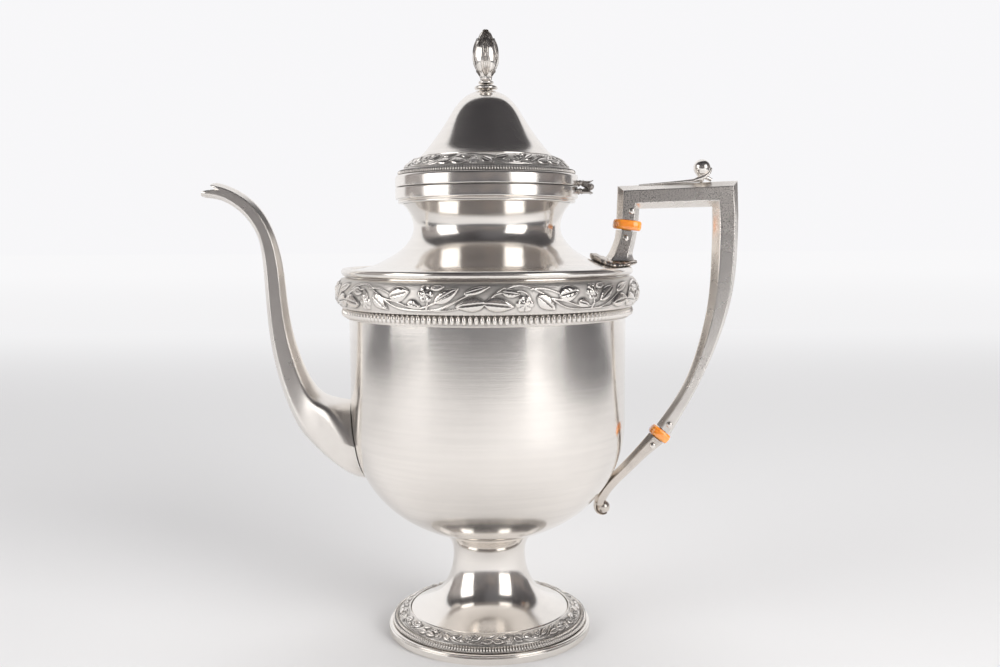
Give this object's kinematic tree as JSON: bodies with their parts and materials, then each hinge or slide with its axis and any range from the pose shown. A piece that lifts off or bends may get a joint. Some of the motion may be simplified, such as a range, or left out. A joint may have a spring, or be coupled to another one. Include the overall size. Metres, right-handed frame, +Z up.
{
  "type": "silver coffee pot",
  "caption": "Footed silver coffee pot with a hinged domed lid, a faceted swan-neck spout, a floral band and a loop handle on heat insulators.",
  "frame": {"origin": "on the table under the middle of the overall length, which runs from the lip of the spout to the back of the handle", "axes": "+Z up, +X towards the handle, -X towards the spout; the round body turns about the vertical at x = 7.35 mm"},
  "size_m": [0.2363, 0.133, 0.267],
  "materials": {
    "bright_silver": "polished silver, near mirror, with faint hairlines",
    "satin_silver": "hand-polished silver, satin from fine turning scratches",
    "chased_silver": "relief silver, bright on the high places and oxidised dark in the ground",
    "tarnished_silver": "worn silver with pitted grey tarnish on its front facets",
    "amber_insulator": "glossy orange heat insulator, polished"
  },
  "bodies": {
    "pot": {"body_bowl": "satin_silver", "shoulder_neck": "satin_silver", "shoulder_rim": "bright_silver", "floral_band": "chased_silver", "band_beading": "bright_silver", "neck_rim": "bright_silver", "pedestal_foot": "bright_silver", "foot_border": "chased_silver", "foot_beading": "bright_silver", "foot_rim": "bright_silver", "spout": "bright_silver", "handle_grip": "tarnished_silver", "upper_handle_socket": "bright_silver", "upper_socket_pad": "chased_silver", "lower_handle_socket": "bright_silver", "upper_insulator": "amber_insulator", "lower_insulator": "amber_insulator", "handle_pin_1": "bright_silver", "handle_pin_2": "bright_silver", "handle_pin_3": "bright_silver", "handle_pin_4": "bright_silver", "thumb_scroll": "bright_silver", "thumb_ball": "bright_silver", "hinge_body_leaf": "bright_silver", "hinge_pin": "bright_silver"},
    "lid": {"lid_dome": "satin_silver", "lid_border": "chased_silver", "lid_beading": "bright_silver", "lid_rim": "bright_silver", "lid_flange": "satin_silver", "finial": "chased_silver", "finial_collar": "bright_silver", "finial_nut": "satin_silver", "hinge_lid_leaf": "bright_silver"}
  },
  "joints": [
    {"name": "lid_hinge", "type": "hinge", "parent": "pot", "child": "lid", "pos_m": [0.05265, 0, 0.1984], "axis": [0, 1, 0], "range_deg": [0, 100]}
  ]
}
